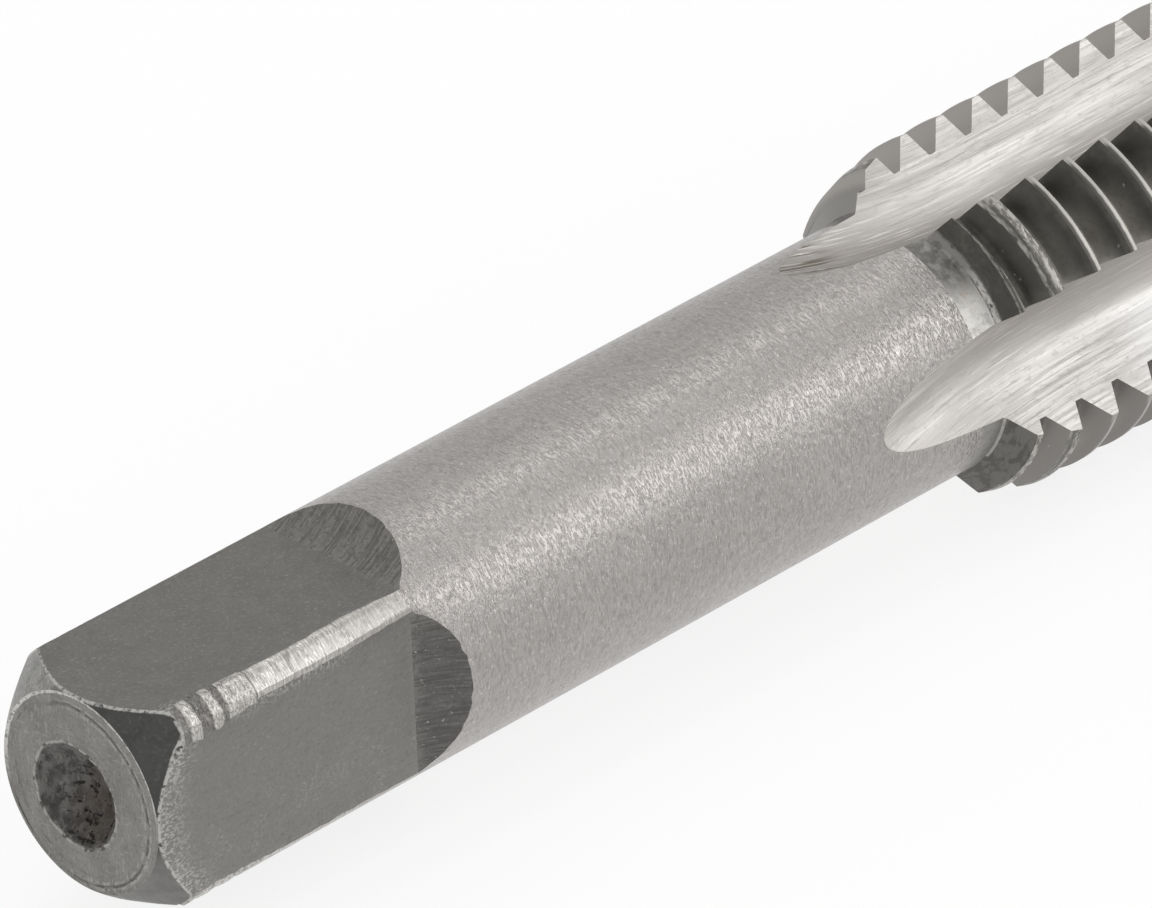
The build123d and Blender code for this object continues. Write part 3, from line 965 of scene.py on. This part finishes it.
        coat("#b5b2ad", 0.95, ("crest", 0.44, 0.8, 0.24, 0.35)),
        coat("#a5a29d", 0.8, ("land", 0.12, 0.03)),
        coat(
            "#a5a29d", 0.75, FIRST_TURN, ("crest", 0.02, 0.1, 0.15, 0.3),
            ("crest", 0.36, 0.24, 0.2, 0.3), ("grain", 0.38, 0.6, (0.16, 0.6, 0.6)), high=0.006,
        ),
        coat(
            "#64625e", 0.75, FIRST_TURN, ("crest", 0.2, 0.4, 0.3, 0.3),
            ("grain", 0.42, 0.58, (0.16, 0.45, 0.45)), high=-0.012,
        ),
        coat(
            "#c6c3be", 0.6, FIRST_TURN, ("crest", 0.3, 0.5),
            ("grain", 0.57, 0.66, (0.1, 0.22, 0.22)), high=0.006,
        ),
    ),
    # Thread flank left as hardened: near-black scale with faint clouds and pale nicks, painted
    # lighter towards the root against the shade of the next tooth, and lighter or darker land by
    # land as painted light and shade. On the land above the front the shoulder's foot is rubbed
    # bright beside a broken brown crack, and its rim in a thin line; the other collars are plain
    "flank_scale": make_finish(
        "flank_under_scale", "#504f4b", 0.46,
        # painted light: lighter towards the root, against the shade the next tooth casts in its
        # reflection
        coat("#a19e98", 0.9, ("distance", 6.8, 6.0), ("land", 0.0, 0.6), ("along", 44.9, 46.2)),
        # painted light and shade: the flank's colour land by land
        coat("#a9a5a1", 1.0, BY_PAINTED_LAND_LIGHT),
        coat("#6b6963", 0.4, DARKER_LANDS, ("grain", 0.42, 0.68, 0.9)),
        coat("#3f3e3b", 0.22, DARKER_LANDS, ("grain", 0.5, 0.74, 0.22)),
        # the shoulders' colours land by land follow the painted light and shade
        coat("#6b6966", 0.85, PALE_LANDS, SHOULDER),
        coat("#a3a19e", 0.65, ("painted_land_light", 0.7, 0.95), SHOULDER),
        coat(
            "#4d4b48", 0.6, ("painted_land_light", 0.7, 0.6), SHOULDER, ("grain", 0.44, 0.62, (0.2, 0.6, 0.6)),
            high=-0.01,
        ),
        coat("#403e3b", 0.6, PALE_LANDS, ("along", 43.24, 43.3), ("along", 43.42, 43.36)),
        coat(
            "#8b8986", 0.8, DARK_LAND, ("along", 42.8, 42.7, 0.08, 0.4),
            ("grain", 0.3, 0.48, (0.12, 0.4, 0.4)),
        ),
        coat(
            "#c8c5c0", 0.75, DARK_LAND, ("land", 0.35, 0.75), ("along", 42.76, 42.7, 0.08, 0.3),
            ("along", 42.58, 42.64, 0.08, 0.3), ("grain", 0.34, 0.5, (0.1, 0.3, 0.3)), high=0.01,
        ),
        coat(
            "#4a4036", 0.8, DARK_LAND, ("land", 0.25, 0.45), ("along", 42.62, 42.57, 0.08, 0.4),
            ("grain", 0.44, 0.54, (0.3, 0.5, 0.5)), high=-0.02,
        ),
        coat(
            "#a9a6a1", 0.75, DARK_LAND, ("along", 43.14, 43.19, 0.05, 0.3), ("along", 43.38, 43.33),
            SHOULDER_RIM, ("grain", 0.28, 0.52, (0.2, 0.3, 0.3)),
        ),
        coat(
            "#55534f", 0.8, DARK_LAND, ("along", 43.19, 43.22, 0.08, 0.3),
            ("along", 43.28, 43.25, 0.08, 0.3), SHOULDER_RIM,
        ),
        *[
            coat("#a5a29d", 0.7, ("spot", 0.26, 0.06, nick, 0.3, 0.12), high=-0.02)
            for nick in NICKS
        ],
    ),
}

link = bpy.context.scene.collection.objects.link
tap = bpy.data.objects.new("tap", build_tap())
link(tap)
for name in FINISHES:
    tap.data.materials.append(finishes[name])
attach(tap, "root")
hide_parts("thread_tap")

# -------------------- floor, light and camera


def plain_white(tree, camera_share, gloss_share):
    """Share of a ray that sees plain white instead of the shaded floor or studio: one for rays
    from the camera, one for glossy and transmission rays, none for the rest."""
    path = add(tree, "ShaderNodeLightPath").outputs
    gloss = {0: path["Is Glossy Ray"], 1: path["Is Transmission Ray"]}
    gloss = add(tree, "ShaderNodeMath", gloss, operation="MAXIMUM").outputs[0]
    gloss = add(tree, "ShaderNodeMath", {0: gloss, 1: gloss_share}, operation="MULTIPLY").outputs[0]
    seen = {0: path["Is Camera Ray"], 1: camera_share, 2: gloss}
    return add(tree, "ShaderNodeMath", seen, operation="MULTIPLY_ADD").outputs[0]


# Pale painted floor: mostly plain white to the eye and to the steel, with the tap's soft shadow
floor_mesh = bpy.data.meshes.new("floor")
floor_mesh.from_pydata([(-3, -3, 0), (3, -3, 0), (3, 3, 0), (-3, 3, 0)], [], [(0, 1, 2, 3)])
paint = bpy.data.materials.new("pale_floor_paint")
paint.use_nodes = True
tree = paint.node_tree
shaded = tree.nodes["Principled BSDF"]
shaded.inputs["Base Color"].default_value = linear("#fafafa")
shaded.inputs["Roughness"].default_value = 0.9
white = add(tree, "ShaderNodeEmission", {"Color": (1, 1, 1, 1), "Strength": 1.0})
mixed = {0: plain_white(tree, 0.82, 0.93), 1: shaded.outputs[0], 2: white.outputs[0]}
mixed = add(tree, "ShaderNodeMixShader", mixed)
tree.links.new(mixed.outputs[0], tree.nodes["Material Output"].inputs["Surface"])
floor_mesh.materials.append(paint)
floor = bpy.data.objects.new("floor", floor_mesh)
link(floor)

# Soft studio: white to the camera, a little less as light and in reflections, and dimmer low on
# the far side, which the top of the shank mirrors
world = bpy.data.worlds.new("studio")
bpy.context.scene.world = world
world.use_nodes = True
tree = world.node_tree
tree.nodes.clear()
way = add(tree, "ShaderNodeTexCoord").outputs["Generated"]
way = add(tree, "ShaderNodeSeparateXYZ", {0: way}).outputs
far = {"Value": way[1], "From Min": 0.2, "From Max": 0.6}
far = add(tree, "ShaderNodeMapRange", far).outputs[0]
low = {"Value": way[2], "From Min": 0.65, "From Max": 0.0}
low = add(tree, "ShaderNodeMapRange", low).outputs[0]
level = add(tree, "ShaderNodeMath", {0: far, 1: low}, operation="MULTIPLY").outputs[0]
level = {0: level, 1: -0.22, 2: 0.88}
level = add(tree, "ShaderNodeMath", level, operation="MULTIPLY_ADD").outputs[0]
dim = add(tree, "ShaderNodeBackground", {"Color": (1, 1, 1, 1), "Strength": level})
full = add(tree, "ShaderNodeBackground", {"Color": (1, 1, 1, 1), "Strength": 1.0})
both = {0: plain_white(tree, 1.0, 0.0), 1: dim.outputs[0], 2: full.outputs[0]}
both = add(tree, "ShaderNodeMixShader", both)
add(tree, "ShaderNodeOutputWorld", {0: both.outputs[0]})


def strip_light(name, direction, distance, width, power):
    """A long soft lamp that lies parallel to the tap, aimed at its middle."""
    lamp = bpy.data.lights.new(name, "AREA")
    lamp.shape = "RECTANGLE"
    lamp.size, lamp.size_y = 1.0, width
    lamp.energy = power
    thing = bpy.data.objects.new(name, lamp)
    link(thing)
    away = Vector(direction).normalized()
    side = (Vector((1, 0, 0)) - away * away.x).normalized()
    turn = Matrix((side, away.cross(side), away)).transposed().to_4x4()
    turn.translation = away * distance
    thing.matrix_world = turn


strip_light("front_strip", (0.616, -0.646, 0.447), 0.7, 0.28, 1.28)
strip_light("top_strip", (0.616, 0.064, 0.783), 0.7, 0.10, 0.50)

# Focal length and picture width in pixels, and the camera's own axes and place in metres
FOCAL, WIDTH = 12378.7, 1152
RIGHT, UP = (0.70031, -0.70886, -0.08417), (0.37856, 0.26883, 0.88568)
BACK = (-0.6052, -0.65211, 0.45661)
camera = bpy.data.objects.new("camera", bpy.data.cameras.new("camera"))
link(camera)
camera.data.sensor_width = 36
camera.data.lens = FOCAL / WIDTH * camera.data.sensor_width
camera.data.clip_start, camera.data.clip_end = 0.01, 50
stand = Matrix((RIGHT, UP, BACK)).transposed().to_4x4()
stand.translation = (-0.29291, -0.2944, 0.21518)
camera.matrix_world = stand
bpy.context.scene.camera = camera
bpy.context.scene.view_settings.view_transform = "Standard"
